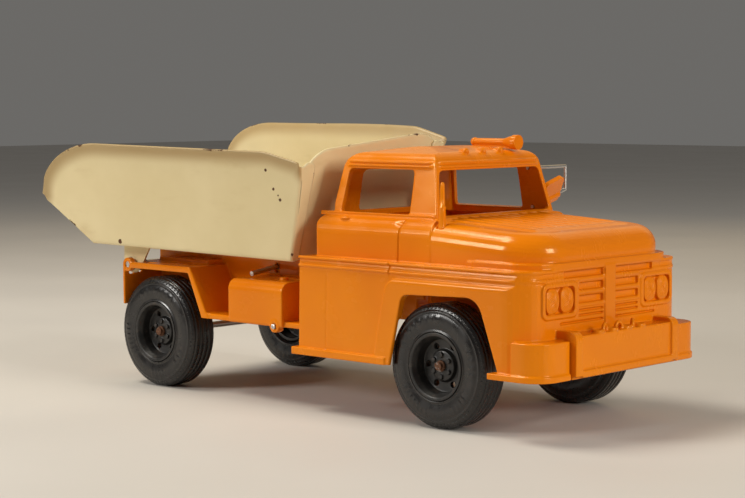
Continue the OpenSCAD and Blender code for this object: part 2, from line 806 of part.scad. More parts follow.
// Section of the tyre, as (radius, distance from its middle) points, with ribbed tread.
module tyre_profile() {
    half = tyre_w / 2;
    side_r = rim_r + 3;
    shoulder = tyre_r - 1.2;
    groove = 0.7;
    pitch = (tyre_w - 7.2 + groove) / 4;
    polygon(concat(
        [[rim_r, -half + 2.2], [rim_r + 1.1, -half + 0.5], [side_r, -half]],
        fillet([side_r, -half], [shoulder - 1.8, -half], [shoulder, -half + 2.4], 2, 4),
        [[shoulder, -half + 2.4], [tyre_r - 0.4, -half + 3.2]],
        [for (i = [0:3]) let (rib = -half + 3.6 + i * pitch, end = rib + pitch - groove) each
            i < 3 ? [[tyre_r, rib], [tyre_r, end], [tyre_r - 0.9, end + 0.1],
                     [tyre_r - 0.9, end + groove - 0.1]]
                  : [[tyre_r, rib], [tyre_r, end]]],
        [[tyre_r - 0.4, half - 3.2], [shoulder, half - 2.4]],
        fillet([shoulder, half - 2.4], [shoulder - 1.8, half], [side_r, half], 2, 4),
        [[side_r, half], [rim_r + 1.1, half - 0.5], [rim_r, half - 2.2]]));
}

module wheel_place(x, side) {
    translate([x, side * track / 2, tyre_r]) rotate([-90 * side, 0, 0]) children();
}

module tyre(x, side) {
    color(rubber) on_truck() wheel_place(x, side) rotate_extrude($fn = 96) tyre_profile();
}

// Wheel: barrel, recessed disc with hand holes, and a boss with a ring of nuts.
module hub(x, side) {
    half = tyre_w / 2;
    color(black) on_truck() wheel_place(x, side) difference() {
        union() {
            rotate_extrude($fn = 72) polygon([
                [axle_r, -half + 1], [5, -half + 1], [5, 0], [rim_r - 1.6, 0],
                [rim_r - 1.6, -half + 1.4], [rim_r, -half + 1.4], [rim_r, half - 2.2],
                [rim_r + 1.1, half - 0.5], [rim_r + 0.9, half], [rim_r - 0.4, half - 0.2],
                [rim_r - 1.6, half - 2.6], [rim_r - 2.2, 2.2], [7.2, 1.8], [6.4, 3.6],
                [3.4, 4.1], [axle_r, 4.1]]);
            for (i = [0:5]) rotate([0, 0, 60 * i + 30]) translate([4.7, 0, 3.4])
                cylinder(r = 1.15, h = 1.5, $fn = 6);
        }
        for (i = [0:hand_holes - 1]) rotate([0, 0, 360 / hand_holes * i])
            translate([9.2, 0, -2]) cylinder(r = 1.35, h = 8);
    }
}

module tyre_front_right() {
    tyre(front_axle_x, -1);
}

module tyre_front_left() {
    tyre(front_axle_x, 1);
}

module tyre_rear_right() {
    tyre(rear_axle_x, -1);
}

module tyre_rear_left() {
    tyre(rear_axle_x, 1);
}

module hub_front_right() {
    hub(front_axle_x, -1);
}

module hub_front_left() {
    hub(front_axle_x, 1);
}

module hub_rear_right() {
    hub(rear_axle_x, -1);
}

module hub_rear_left() {
    hub(rear_axle_x, 1);
}

cab_shell();
chassis_frame();
antenna_post();
air_horn();
mirror_wire();
mirror_plate();
cab_screws();
lug_rivets();
bed_tub();
bed_front_wall();
bed_hinge_bracket();
bed_hinge_pin();
hinge_pin_caps();
dump_lever();
front_axle();
rear_axle();
front_axle_caps();
rear_axle_caps();
tyre_front_right();
tyre_front_left();
tyre_rear_right();
tyre_rear_left();
hub_front_right();
hub_front_left();
hub_rear_right();
hub_rear_left();
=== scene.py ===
import json
import math

import bmesh
import bpy
from mathutils import Matrix, Vector, noise


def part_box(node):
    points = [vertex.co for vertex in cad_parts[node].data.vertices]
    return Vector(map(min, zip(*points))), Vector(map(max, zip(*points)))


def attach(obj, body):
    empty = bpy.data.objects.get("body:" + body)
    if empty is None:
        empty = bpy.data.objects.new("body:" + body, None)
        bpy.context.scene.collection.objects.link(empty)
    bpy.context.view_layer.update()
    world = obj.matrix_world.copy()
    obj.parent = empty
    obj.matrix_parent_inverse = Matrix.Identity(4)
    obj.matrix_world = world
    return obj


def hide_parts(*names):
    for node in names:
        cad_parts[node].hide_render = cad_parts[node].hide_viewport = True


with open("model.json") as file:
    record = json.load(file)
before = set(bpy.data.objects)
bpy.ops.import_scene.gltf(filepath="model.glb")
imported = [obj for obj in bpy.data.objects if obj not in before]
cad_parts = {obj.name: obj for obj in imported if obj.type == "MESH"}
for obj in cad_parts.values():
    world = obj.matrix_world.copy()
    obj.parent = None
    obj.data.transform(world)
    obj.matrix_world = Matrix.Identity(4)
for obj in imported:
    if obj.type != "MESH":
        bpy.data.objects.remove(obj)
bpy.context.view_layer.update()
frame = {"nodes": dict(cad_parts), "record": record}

MM = 0.001
scene = bpy.context.scene
nodes = frame["nodes"]


# ---- camera, floor and light ------------------------------------------------------

def link(obj):
    scene.collection.objects.link(obj)
    return obj


cam = link(bpy.data.objects.new("camera", bpy.data.cameras.new("camera")))
cam.data.lens = 90.36
cam.data.sensor_width = 36
cam.data.clip_start = 0.05
cam.data.clip_end = 20
right = Vector((0.73381538, 0.67934356, -0.0027035))
up = Vector((-0.05275841, 0.06095536, 0.9967452))
back = Vector((0.67729723, -0.73128433, 0.08057106))
m = Matrix((right, up, back)).transposed().to_4x4()
m.translation = Vector((0.61113, -0.64920, 0.14088))
cam.matrix_world = m
scene.camera = cam

bm = bmesh.new()
bmesh.ops.create_grid(bm, x_segments=2, y_segments=2, size=4)
floor_mesh = bpy.data.meshes.new("floor")
bm.to_mesh(floor_mesh)
bm.free()
floor = link(bpy.data.objects.new("floor", floor_mesh))

world = bpy.data.worlds.new("studio")
world.use_nodes = True
world.node_tree.nodes["Background"].inputs["Color"].default_value = (0.92, 0.89, 0.84, 1)
world.node_tree.nodes["Background"].inputs["Strength"].default_value = 0.16
scene.world = world
scene.view_settings.view_transform = "Standard"
scene.view_settings.look = "None"


def soft_light(name, at, size, power, colour=(1, 1, 1), aim=(0, 0, 0.05)):
    data = bpy.data.lights.new(name, "AREA")
    data.shape = "RECTANGLE"
    data.size, data.size_y = size
    data.energy = power
    data.color = colour
    obj = link(bpy.data.objects.new(name, data))
    obj.location = at
    obj.rotation_mode = "QUATERNION"
    obj.rotation_quaternion = (Vector(at) - Vector(aim)).to_track_quat("Z", "Y")
    return obj


soft_light("key", (-0.40, -0.25, 1.0), (0.5, 0.3), 8.0, (1.0, 0.94, 0.82))
soft_light("side", (-0.62, -1.05, 0.62), (0.4, 0.3), 8.5, (1.0, 0.97, 0.92))
soft_light("front", (1.2, 0.05, 0.5), (0.3, 0.4), 9.0, (1.0, 0.96, 0.9))
soft_light("rim", (-0.4, 0.9, 0.7), (1.2, 0.7), 1.6, (1.0, 0.72, 0.34))


# ---- materials --------------------------------------------------------------------

class Mat:
    """A procedural material: a Principled shader and short calls that add nodes to it."""

    def __init__(self, name, **sockets):
        self.mat = bpy.data.materials.new(name)
        self.mat.use_nodes = True
        self.tree = self.mat.node_tree
        self.bsdf = self.tree.nodes["Principled BSDF"]
        for key, value in sockets.items():
            self.bsdf.inputs[key.replace("_", " ")].default_value = value
        self.coord = self.tree.nodes.new("ShaderNodeTexCoord").outputs["Object"]

    def put(self, socket, value):
        if isinstance(value, bpy.types.NodeSocket):
            self.tree.links.new(value, socket)
        elif isinstance(value, (tuple, list)) and len(value) == 3 and socket.type == "RGBA":
            socket.default_value = (*value, 1)
        else:
            socket.default_value = value

    def add(self, kind, **props):
        node = self.tree.nodes.new(kind)
        for key, value in props.items():
            setattr(node, key, value)
        return node

    def stretch(self, scale):
        node = self.add("ShaderNodeMapping")
        self.put(node.inputs["Vector"], self.coord)
        self.put(node.inputs["Scale"], scale)
        return node.outputs[0]

    def noise(self, scale, detail=3.0, rough=0.5, vector=None):
        node = self.add("ShaderNodeTexNoise")
        self.put(node.inputs["Vector"], vector or self.coord)
        self.put(node.inputs["Scale"], scale)
        self.put(node.inputs["Detail"], detail)
        self.put(node.inputs["Roughness"], rough)
        return node.outputs["Fac"]

    def ramp(self, value, low, high, to=(0.0, 1.0)):
        node = self.add("ShaderNodeMapRange", interpolation_type="SMOOTHSTEP")
        for key, v in (("Value", value), ("From Min", low), ("From Max", high),
                       ("To Min", to[0]), ("To Max", to[1])):
            self.put(node.inputs[key], v)
        return node.outputs[0]

    def math(self, op, a, b):
        node = self.add("ShaderNodeMath", operation=op)
        self.put(node.inputs[0], a)
        self.put(node.inputs[1], b)
        return node.outputs[0]

    def axis(self, name):
        node = self.add("ShaderNodeSeparateXYZ")
        self.put(node.inputs[0], self.coord)
        return node.outputs[name]

    def layer(self, name):
        return self.add("ShaderNodeAttribute", attribute_name=name).outputs["Fac"]

    def mix(self, factor, a, b):
        node = self.add("ShaderNodeMix", data_type="RGBA")
        self.put(node.inputs[0], factor)
        self.put(node.inputs[6], a)
        self.put(node.inputs[7], b)
        return node.outputs[2]

    def near(self, x, z, radius, right):
        """1 at a point in side view, falling to 0 at a radius, only to the right of a plane."""
        flat = self.add("ShaderNodeVectorMath", operation="MULTIPLY")
        self.put(flat.inputs[0], self.coord)
        self.put(flat.inputs[1], (1, 0, 1))
        node = self.add("ShaderNodeVectorMath", operation="DISTANCE")
        self.put(node.inputs[0], flat.outputs[0])
        self.put(node.inputs[1], (x * MM, 0, z * MM))
        return self.math("MULTIPLY", self.ramp(node.outputs["Value"], radius * MM, 0.0),
                         self.ramp(self.axis("Y"), right * MM, (right - 2) * MM))

    def colour(self, value):
        self.put(self.bsdf.inputs["Base Color"], value)

    def rough(self, value):
        self.put(self.bsdf.inputs["Roughness"], value)

    def bump(self, height, strength, distance, after=None):
        node = self.add("ShaderNodeBump")
        self.put(node.inputs["Height"], height)
        self.put(node.inputs["Strength"], strength)
        self.put(node.inputs["Distance"], distance)
        if after is not None:
            self.put(node.inputs["Normal"], after)
        self.tree.links.new(node.outputs[0], self.bsdf.inputs["Normal"])
        return node.outputs[0]


pin_lo, pin_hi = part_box("bed_hinge_pin")
pin = (pin_lo + pin_hi) / 2
# bare spots in the paint of the right side: x, z, radius, and how far to the right, in mm; the
# first spot at the hinge pin is painted shade, a dark disc standing in for a hole in the
# bracket's cheek
CHIPS_AND_HOLE_SHADE = [(-6.0, 108.1, 1.5, -49), (-2.1, 99.4, 1.7, -49), (0.4, 96.6, 1.1, -49),
         (1.4, 94.6, 1.6, -49), (6.6, 69.4, 2.3, -48), (9.0, 68.8, 1.4, -48),
         (14.2, 101.5, 1.1, -53), (13.6, 98.0, 1.0, -53),
         (pin.x / MM - 2, pin.z / MM + 2, 3.4, -30), (pin.x / MM + 3, pin.z / MM + 12, 2.4, -57)]


def orange_plastic():
    m = Mat("orange_plastic", IOR=1.48, Coat_Weight=0.06, Coat_Roughness=0.1,
            Specular_IOR_Level=0.34, Specular_Tint=(1.0, 0.8, 0.42, 1),
            Coat_Tint=(1.0, 0.85, 0.55, 1))
    tone = m.noise(18, 3)
    base = m.mix(m.ramp(tone, 0.3, 0.75), (0.72, 0.182, 0.0015), (0.80, 0.228, 0.002))
    grime = m.math("MULTIPLY", m.ramp(m.noise(40, 5, 0.65), 0.6, 0.78),
                   m.ramp(m.noise(900, 2), 0.56, 0.7))
    base = m.mix(m.math("MULTIPLY", grime, 0.3), base, (0.30, 0.07, 0.004))
    m.colour(base)
    streaks = m.noise(1.0, 2, 0.5, m.stretch((120, 900, 260)))
    m.rough(m.ramp(m.math("ADD", m.math("MULTIPLY", m.noise(70, 4), 0.7),
                          m.math("MULTIPLY", streaks, 0.3)), 0.3, 0.7, (0.16, 0.3)))
    skin = m.bump(m.noise(650, 2), 0.05, 0.0002)
    m.bump(m.noise(90, 2), 0.12, 0.0006, skin)
    return m.mat


def cream_paint():
    m = Mat("cream_paint", IOR=1.5, Coat_Weight=0.08, Coat_Roughness=0.3,
            Specular_IOR_Level=0.35)
    tone = m.noise(14, 4, 0.6)
    base = m.mix(m.ramp(tone, 0.25, 0.75), (0.68, 0.56, 0.305), (0.77, 0.65, 0.385))
    stain = m.ramp(m.noise(1.0, 4, 0.6, m.stretch((22, 22, 60))), 0.52, 0.8)
    base = m.mix(m.math("MULTIPLY", stain, 0.3), base, (0.42, 0.27, 0.09))
    # painted shade: the outward-curled band along the top and tail of the sides is mixed toward
    # brown, standing in for the shade and floor reflection on its downward-facing curl
    shade = m.ramp(m.math("ADD", m.layer("band"), m.math("MULTIPLY", tone, 0.3)), 0.2, 0.95)
    base = m.mix(m.math("MULTIPLY", shade, 0.72), base, (0.33, 0.20, 0.065))
    fine = m.noise(330, 5, 0.72)
    wear = m.math("MULTIPLY", m.layer("wear"), m.ramp(m.noise(62, 3), 0.5, 0.7, (0.04, 0.3)))
    rust_and_hole_shade = m.ramp(m.math("ADD", wear, fine), 0.76, 0.80)
    # the chipped spots darken to the rust colour, and so does the painted hole shade at the
    # hinge pin
    for paint_spot in CHIPS_AND_HOLE_SHADE:
        spot = m.math("ADD", m.math("MULTIPLY", m.near(*paint_spot), 0.7), fine)
        rust_and_hole_shade = m.math("MAXIMUM", rust_and_hole_shade, m.ramp(spot, 0.84, 0.92))
    m.colour(m.mix(rust_and_hole_shade, base, m.mix(m.noise(500, 3), (0.045, 0.02, 0.01), (0.15, 0.06, 0.022))))
    m.rough(m.math("ADD", m.ramp(m.noise(80, 4), 0.3, 0.7, (0.34, 0.5)),
                   m.math("MULTIPLY", rust_and_hole_shade, 0.35)))
    first = m.bump(m.noise(45, 3), 0.25, 0.001)
    m.bump(m.math("MULTIPLY", rust_and_hole_shade, -1.0), 0.5, 0.0002, first)
    return m.mat


def steel(name="bare_steel", rusty=0.1):
    m = Mat(name, Metallic=1.0)
    patches = m.ramp(m.noise(260, 5, 0.7), 0.66 - rusty * 0.45, 0.78 - rusty * 0.45)
    drawn = m.noise(1.0, 3, 0.6, m.stretch((900, 140, 900)))
    bright = m.mix(drawn, (0.50, 0.48, 0.45), (0.74, 0.72, 0.70))
    brown = m.mix(m.noise(900, 4), (0.05, 0.02, 0.009), (0.20, 0.08, 0.032))
    m.colour(m.mix(patches, bright, brown))
    m.put(m.bsdf.inputs["Metallic"], m.ramp(patches, 0.0, 1.0, (1.0, 0.15)))
    m.rough(m.ramp(patches, 0.0, 1.0, (0.33, 0.75)))
    m.bump(m.noise(1200, 3), 0.25, 0.0001)
    return m.mat


def tyre_rubber():
    m = Mat("tyre_rubber", IOR=1.5, Specular_IOR_Level=0.55)
    tone = m.mix(m.ramp(m.noise(60, 4), 0.3, 0.7), (0.005, 0.004, 0.004), (0.009, 0.0075, 0.007))
    dust = m.math("MULTIPLY", m.ramp(m.noise(220, 5, 0.7), 0.5, 0.72), 0.4)
    m.colour(m.mix(dust, tone, (0.038, 0.028, 0.024)))
    m.rough(m.ramp(m.noise(120, 4), 0.3, 0.7, (0.2, 0.38)))
    first = m.bump(m.noise(1500, 3), 0.15, 0.0001)
    m.bump(m.noise(160, 3), 0.2, 0.0004, first)
    return m.mat


def black_plastic():
    m = Mat("black_plastic", IOR=1.48)
    tone = m.mix(m.noise(90, 3), (0.008, 0.0075, 0.0075), (0.018, 0.017, 0.016))
    dust = m.math("MULTIPLY", m.ramp(m.noise(300, 4, 0.65), 0.52, 0.7), 0.5)
    m.colour(m.mix(dust, tone, (0.075, 0.056, 0.044)))
    m.rough(m.ramp(m.noise(150, 4), 0.3, 0.7, (0.3, 0.5)))
    m.bump(m.noise(900, 2), 0.12, 0.0001)
    return m.mat


def pale_floor():
    m = Mat("pale_floor")
    m.colour(m.mix(m.noise(3, 3), (0.57, 0.54, 0.50), (0.61, 0.58, 0.54)))
    m.rough(m.ramp(m.noise(8, 3), 0.3, 0.7, (0.55, 0.7)))
    return m.mat


ORANGE = orange_plastic()
CREAM = cream_paint()
STEEL = steel()
RUSTY = steel("rusty_steel", 0.75)
TYRE = tyre_rubber()
BLACK = black_plastic()
floor.data.materials.append(pale_floor())


# ---- making pieces ----------------------------------------------------------------

def new_piece(name, mesh, material, body, slot, *replaced):
    mesh.materials.clear()
    mesh.materials.append(material)
    mesh.shade_smooth()
    obj = link(bpy.data.objects.new(name, mesh))
    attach(obj, body)
    if replaced:
        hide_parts(*replaced)
    return obj


def applied(obj):
    """The mesh an object has after its modifiers; the object itself goes."""
    dg = bpy.context.evaluated_depsgraph_get()
    mesh = bpy.data.meshes.new_from_object(obj.evaluated_get(dg))
    bpy.data.objects.remove(obj)
    return mesh


def to_mesh(bm, name):
    mesh = bpy.data.meshes.new(name)
    bm.to_mesh(mesh)
    bm.free()
    return mesh


def moulded(bm, name, voxel, smoothing, keep, dent=None):
    """One skin round everything in bm, its edges softened as a mould leaves them."""
    tmp = link(bpy.data.objects.new(name, to_mesh(bm, name)))
    remesh = tmp.modifiers.new("remesh", "REMESH")
    remesh.mode = "VOXEL"
    remesh.voxel_size = voxel * MM * 1
    relax = tmp.modifiers.new("relax", "SMOOTH")
    relax.factor = 0.5
    relax.iterations = smoothing
    mesh = applied(tmp)
    if dent:
        moves = []
        for v in mesh.vertices:
            move = dent(v.co / MM, v.normal)
            if move:
                moves.append((v, move * MM))
        for v, move in moves:
            v.co += move
    tmp = link(bpy.data.objects.new(name, mesh))
    tmp.modifiers.new("fewer", "DECIMATE").ratio = keep
    return applied(tmp)


def from_node(name):
    bm = bmesh.new()
    bm.from_mesh(nodes[name].data)
    bmesh.ops.remove_doubles(bm, verts=bm.verts, dist=1e-6)
    return bm


def add_box(bm, lo, hi):
    mid = (Vector(lo) + Vector(hi)) / 2 * MM
    size = (Vector(hi) - Vector(lo)) * MM
    bmesh.ops.create_cube(bm, size=1, matrix=Matrix.LocRotScale(mid, None, size))


def add_ball(bm, at, radii):
    bmesh.ops.create_icosphere(bm, subdivisions=3, radius=1,
                               matrix=Matrix.LocRotScale(Vector(at) * MM, None,
                                                         Vector(radii) * MM))


def bell(d, width):
    return math.exp(-(d / width) ** 2)


def step(v, a, b):
    t = min(max((v - a) / (b - a), 0), 1)
    return t * t * (3 - 2 * t)


# ---- cab and chassis --------------------------------------------------------------

# all in mm
SEAM_X = 70.7
SEAM_DEPTH = 0.6
HOOD_SLOPE = math.radians(3.3)
HOOD_UP = Vector((math.sin(HOOD_SLOPE), 0, math.cos(HOOD_SLOPE)))
HOOD_AHEAD = Vector((HOOD_UP.z, 0, -HOOD_UP.x))
HOOD_AT = Vector((83.8, 0, 87.8))
PANEL_UP = 0.7
PANEL_HALF = 33.6
RIB_UP = 0.65
RIB_PITCH = 7
RIB_WIDTH = 1.15
SILL = (40.2, 42.3)
HANDLE_Y = 46.2
LAMP_SPOTS = (-39.8, -30, 30, 39.8)
LAMP_Z = 57.3
LAMP_HALF = (4.3, 5.1)
LAMP_CENTRE_X = 134.3
LAMP_RADIUS = 13.66
WAFFLE = 0.2
WAFFLE_PITCH = 0.9


def hood_top(p):
    """How far a point of the hood's top is below the ribbed panel moulded on it."""
    ahead = (p - HOOD_AT).dot(HOOD_AHEAD)
    above = (p - HOOD_AT).dot(HOOD_UP)
    if not (5 < ahead < 53 and abs(above - PANEL_UP) < 1.6):
        return 0
    panel = PANEL_UP * step(PANEL_HALF - abs(p.y), 0, 1.4) * (1 - step(ahead, 47.5, 50.5))
    off = (p.y + RIB_PITCH / 2) % RIB_PITCH - RIB_PITCH / 2
    if abs(p.y) < 31.5:
        panel += RIB_UP * bell(off, RIB_WIDTH) * (1 - step(ahead, 41, 49))
    return (panel - above) * step(ahead, 5, 7)


def cab_dents(p, n):
    """Move in mm of a point of the cab's skin: hood ribs, door seams and the handle's recess."""
    side = abs(p.y)
    if side < 36 and n.dot(HOOD_UP) > 0.3 and p.x > 88:
        rise = hood_top(p)
        if rise:
            return HOOD_UP * rise
    depth = 0
    if side > 40 and n.y * p.y > 0 and 62 < p.z < 88.5:
        depth += SEAM_DEPTH * bell(p.x - SEAM_X, 0.36) * step(p.z, 63, 66)
    if 40 < side < 52 and n.z > 0.3 and p.z > 84:
        spot = Vector(((p.x - 69.6) / 2.4, (side - HANDLE_Y) / 1.1))
        depth += 0.7 * bell(spot.length, 0.9)
    if side > 54 and n.y * p.y > 0 and 29 < p.z < 63:
        depth += 0.16 * bell(p.x - 33, 0.45)
    return n * -depth if depth else None


cab_bm = from_node("cab_shell")
for s in (-1, 1):
    ys = sorted(s * y for y in SILL)
    add_box(cab_bm, (17, ys[0], 88.2), (84.5, ys[1], 90.1))
    add_ball(cab_bm, (36, s * HANDLE_Y, 87.5), (2.8, 1.3, 0.8))
cab = new_piece("cab", moulded(cab_bm, "cab", 0.32, 3, 0.22, cab_dents), ORANGE,
                "truck", "orange_plastic", "cab_shell")
chassis = new_piece("chassis", moulded(from_node("chassis_frame"), "chassis", 0.42, 3, 0.24),
                    ORANGE, "truck", "orange_plastic", "chassis_frame")


def antenna_mesh():
    """A tapered square post with rounded corners, one step and a flared foot."""
    lo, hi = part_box("antenna_post")
    mid = (lo + hi) / 2
    foot = hi.z / MM - 20.4
    bm = bmesh.new()
    rings = []
    for z, half in ((-3, 1.1), (-0.6, 1.8), (0.2, 1.85), (1.2, 1.6), (2.6, 1.42), (5, 1.28),
                    (8.6, 1.14), (9.2, 1.3), (9.7, 1.3), (10.1, 0.98), (14, 0.9), (18, 0.82),
                    (19.6, 0.74), (20.2, 0.5), (20.4, 0.02)):
        ring = []
        for j in range(32):
            c, s = superellipse(math.tau * j / 32, 0.6)
            ring.append(bm.verts.new(Vector((mid.x + half * c * MM, mid.y + half * s * MM,
                                             (foot + z) * MM))))
        rings.append(ring)
    for a, b in zip(rings, rings[1:]):
        for j in range(32):
            k = (j + 1) % 32
            bm.faces.new((a[j], a[k], b[k], b[j]))
    for ring in (rings[0], rings[-1]):
        bm.faces.new(ring)
    bmesh.ops.recalc_face_normals(bm, faces=bm.faces)
    return to_mesh(bm, "antenna")


def superellipse(a, power):
    c, s = math.cos(a), math.sin(a)
    return (math.copysign(abs(c) ** power, c), math.copysign(abs(s) ** power, s))


def lamp_faces():
    """Four domed lamp faces with a fine waffle pattern, on the cab's moulded lamps."""
    bm = bmesh.new()
    rings, around = ((26, 96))
    for y in LAMP_SPOTS:
        rows = []
        for i in range(rings + 2):
            f = min(i, rings) / rings
            row = []
            for j in range(around):
                ey, ez = superellipse(math.tau * j / around, 0.72)
                v = Vector((f * LAMP_HALF[0] * ey, f * LAMP_HALF[1] * ez))
                x = LAMP_CENTRE_X + math.sqrt(LAMP_RADIUS ** 2 - v.length_squared)
                turn = math.tau * v / WAFFLE_PITCH
                waffle = math.cos(turn.x) * math.cos(turn.y)
                x += WAFFLE + WAFFLE * waffle * (1 - f ** 6)
                if i > rings:
                    x -= 0.8
                row.append(bm.verts.new(Vector((x, y + v.x, LAMP_Z + v.y)) * MM))
            rows.append(row)
        for a, b in zip(rows, rows[1:]):
            for j in range(around):
                k = (j + 1) % around
                bm.faces.new((a[j], b[j], b[k], a[k]))
        bmesh.ops.remove_doubles(bm, verts=rows[0], dist=1e-7)
    return to_mesh(bm, "lamp_faces")


new_piece("lamp_faces", lamp_faces(), ORANGE, "truck", "orange_plastic")
new_piece("antenna", antenna_mesh(), ORANGE, "truck", "orange_plastic", "antenna_post")


# ---- bed --------------------------------------------------------------------------

mount = next(m for m in frame["record"]["mounts"] if m["name"] == "bed_floor")
bed_up = Vector(mount["axis"]).normalized()
bed_left = Vector((0, bed_up.z, -bed_up.y)).normalized()
bed_ahead = bed_left.cross(bed_up)
SHEET = 0.9
bed_turn = Matrix((bed_ahead, bed_left, bed_up)).transposed()
bed_origin = Vector(mount["pos_m"]) - bed_turn @ Vector((-50, 0, SHEET)) * MM

# the bed in its own frame, in mm
BED_FRONT = 14.5
BED_HALF = 50.05
BED_LEN = 128.5
BED_H = 50.5
SPLAY = math.radians(4.5)
LEAN = 10 / 46
WALL_LEAN = 11 / 51
FOLD = 1.5
TAIL = (-162.7, 24)
TAIL_ROUND_X = -121
FLARE_REACH = 9.4
FLARE_RADIUS = 16
FAR_DROP = 0.06


def on_truck(p):
    """A point of the bed's own frame, in mm, on the truck."""
    sway = 0.12 * noise.noise(Vector(p) * 0.035) + 0.04 * noise.noise(Vector(p) * 0.13)
    return bed_origin + bed_turn @ (Vector((p[0], p[1] + sway, p[2])) * MM)


def fillet(a, b, c, r, n):
    a, b, c = Vector(a), Vector(b), Vector(c)
    u, v = (a - b).normalized(), (c - b).normalized()
    half = u.angle(v) / 2
    start, end = b + u * r / math.tan(half), b + v * r / math.tan(half)
    mid = b + (u + v).normalized() * r / math.sin(half)
    arc = []
    for i in range(n + 1):
        chord = start.lerp(end, i / n) - mid
        arc.append(mid + chord.normalized() * r)
    return arc


tail = [Vector((TAIL_ROUND_X + (TAIL[0] - TAIL_ROUND_X) * math.sin(math.radians(6 * i)),
                TAIL[1] + (BED_H - TAIL[1]) * math.cos(math.radians(6 * i))))
        for i in range(16)]
upper = (fillet((SHEET, 0), (10.9, 46), (-10, BED_H), 2, 6)
         + fillet((10.9, 46), (-10, BED_H), (-40, BED_H), 30, 8) + tail)
lower = [Vector(TAIL), Vector((-161.4, 22.8)), Vector((-160.8, 20.6)),
         Vector((-BED_LEN, 0))]


def sheared(chain):
    return sorted(((p.x - p.y * LEAN, p.y) for p in chain))


def along(chain, x):
    if x <= chain[0][0]:
        return chain[0][1]
    for (x0, z0), (x1, z1) in zip(chain, chain[1:]):
        if x <= x1:
            return z0 + (z1 - z0) * (x - x0) / max(x1 - x0, 1e-9)
    return chain[-1][1]


def distance(chain, p):
    best = 1e9
    for a, b in zip(chain, chain[1:]):
        d = b - a
        t = min(max((p - a).dot(d) / max(d.length_squared, 1e-9), 0), 1)
        best = min(best, (p - a - d * t).length)
    return best


upper_s, lower_s = sheared(upper), sheared(lower)


def add_sheet(bm, columns, outward):
    """Quads over columns of (point, wear, band), turned to face outward."""
    wear = bm.verts.layers.float["wear"]
    band = bm.verts.layers.float["band"]
    grid = []
    for column in columns:
        line = []
        for p, w, b in column:
            v = bm.verts.new(on_truck(p))
            v[wear], v[band] = w, b
            line.append(v)
        grid.append(line)
    faces = []
    for a, b in zip(grid, grid[1:]):
        for i in range(len(a) - 1):
            faces.append(bm.faces.new((a[i], a[i + 1], b[i + 1], b[i])))
    bm.normal_update()
    middle = faces[len(faces) // 2]
    if middle.normal.dot(bed_turn @ Vector(outward)) < 0:
        bmesh.ops.reverse_faces(bm, faces=faces)


def side_panel(bm, s):
    """One side of the bed, folded into the floor below and over the front wall ahead."""
    levels = [0, 0.004, 0.009, 0.016, 0.03] + [0.03 + 0.97 * i / 40 for i in range(1, 41)]
    front = SHEET - FOLD
    spots = [front - 1.2 * i for i in range(16)]
    spots += [spots[-1] - 2.4 * i for i in range(1, 44)]
    tip = lower_s[0][0]
    left = spots[-1]
    spots += [left + (tip - left) * math.sin(math.pi / 2 * i / 40) for i in range(1, 41)]
    columns = []
    # flange, from its inner edge to the fold
    for f in [1 - i / 9 for i in range(10)]:
        column = []
        top = min(along(upper_s, SHEET), 45.6) + 1.6 * step(f, 0, 0.4)
        top -= 4 * (1 - math.sqrt(max(1 - max((f - 0.6) / 0.4, 0) ** 2, 0)))
        for level in levels:
            z = 1.2 + (top - 1.2) * level
            width = 4.8 + 5.2 * z / 45.6 - FOLD
            x = SHEET * math.cos(SPLAY) - FOLD * math.sin(SPLAY) + z * LEAN
            y = BED_HALF - SHEET * math.sin(SPLAY) - FOLD * math.cos(SPLAY) - f * width
            edge = min(top - z, z - 1.2, (1 - f) * width)
            column.append(((BED_FRONT + x, s * y, z), bell(edge, 1.3), 0))
        columns.append(column)
    # fold and side
    turns = [math.radians(90 - 15 * i) for i in range(1, 6)]
    for x_s, inward in ([(front + FOLD * math.sin(a), FOLD * (1 - math.cos(a))) for a in turns]
                        + [(x, 0) for x in spots]):
        low = along(lower_s, x_s) if x_s < -BED_LEN else 0
        high = max(along(upper_s, x_s), low + 0.01)
        column = []
        for level in levels:
            z = low + (high - low) * level
            x = x_s + z * LEAN
            here = Vector((x, z))
            to_top = distance(upper, here)
            flare = FLARE_REACH - min(to_top, FLARE_REACH)
            y = FLARE_RADIUS - math.sqrt(FLARE_RADIUS ** 2 - flare ** 2)
            y *= 0.86 - 0.44 * step(-x, 100, 155)
            if low == 0 and z < FOLD:
                y -= FOLD - math.sqrt(FOLD ** 2 - (FOLD - z) ** 2)
            y -= inward
            edge = min(to_top, distance(lower, here))
            near_fold = bell(x_s - front - 0.5, 0.8)
            px = x * math.cos(SPLAY) + y * math.sin(SPLAY)
            py = -x * math.sin(SPLAY) + y * math.cos(SPLAY)
            squeeze = 1 - FAR_DROP * step(-x, 20, 135) if s > 0 else 1
            # the third value is the shade band: how far into the curl a point lies, where the
            # cream paint gets painted shade
            column.append(((BED_FRONT + px, s * (BED_HALF + py), z * squeeze),
                           max(bell(edge, 1.1), near_fold), flare / FLARE_REACH))
        columns.append(column)
    add_sheet(bm, columns, (0, s, 0))


def bed_sheets():
    bm = bmesh.new()
    bm.verts.layers.float.new("wear")
    bm.verts.layers.float.new("band")
    for s in (-1, 1):
        side_panel(bm, s)
    columns = []
    for i in range(49):
        back = SHEET + 0.04 + (BED_LEN - SHEET - 0.04) * i / 48
        half = BED_HALF + back * math.tan(SPLAY) - FOLD
        columns.append([((BED_FRONT - back, half * (j / 20 - 1), 0),
                         bell(BED_LEN - back, 1.5), 0) for j in range(41)])
    add_sheet(bm, columns, (0, 0, -1))
    return to_mesh(bm, "bed")


